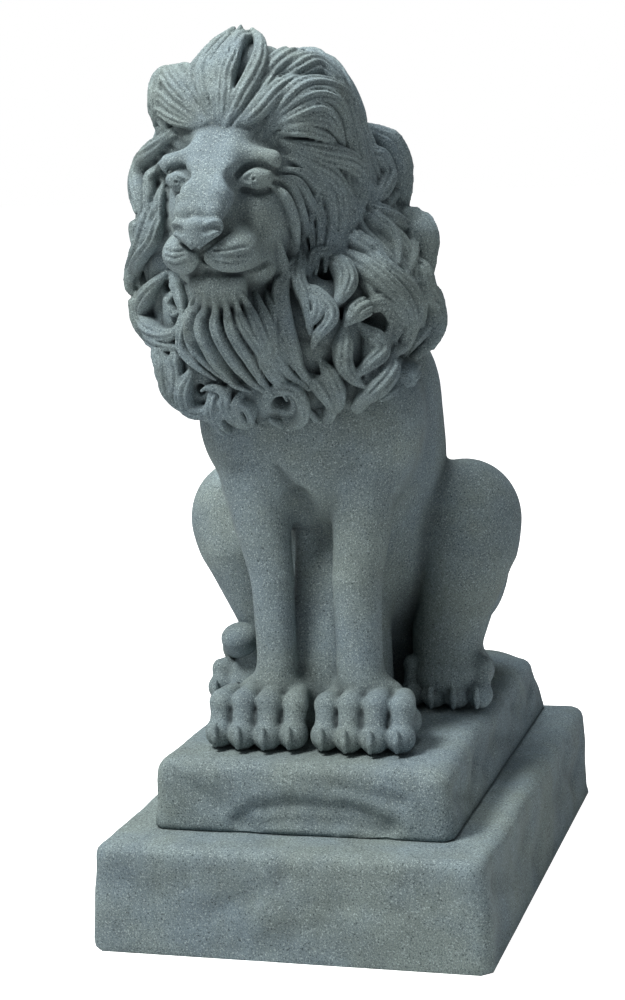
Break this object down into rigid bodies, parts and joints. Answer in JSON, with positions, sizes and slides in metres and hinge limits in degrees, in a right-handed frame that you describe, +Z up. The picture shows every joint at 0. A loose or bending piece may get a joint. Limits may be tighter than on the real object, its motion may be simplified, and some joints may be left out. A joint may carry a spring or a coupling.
{
  "type": "seated guardian lion statue",
  "caption": "Seated guardian lion with a full mane on a two-tier rough-hewn plinth, granite effect, hollow, closed below by a plate with a ballast bung.",
  "frame": {"origin": "on the floor, at the centre of the lower tier's footprint", "axes": "+Z up, the lion faces -Y, its left side is on +X"},
  "size_m": [0.318, 0.457, 0.7107],
  "materials": {
    "stone_resin": "matt granite effect, grey-green with dark and pale flecks",
    "closing_board": "plain matt black",
    "bung_rubber": "moulded, matt",
    "fixing_steel": "bright zinc plated"
  },
  "bodies": {
    "statue": {"head": "stone_resin", "torso": "stone_resin", "left_foreleg": "stone_resin", "right_foreleg": "stone_resin", "left_hind_leg": "stone_resin", "right_hind_leg": "stone_resin", "tail": "stone_resin", "upper_plinth": "stone_resin", "lower_plinth": "stone_resin", "base_plate": "closing_board", "base_screws": "fixing_steel", "tier_bolts": "fixing_steel", "tier_washers": "fixing_steel", "foreleg_rods": "fixing_steel", "rump_rods": "fixing_steel", "rod_washers": "fixing_steel", "rod_nuts": "fixing_steel", "neck_dowels": "fixing_steel", "haunch_dowels": "fixing_steel", "tail_dowel": "fixing_steel"},
    "bung": {"filling_bung": "bung_rubber"}
  },
  "joints": [
    {"name": "bung_pull", "type": "slide", "parent": "statue", "child": "bung", "axis": [0, 0, -1], "range_m": [0, 0.024]}
  ]
}
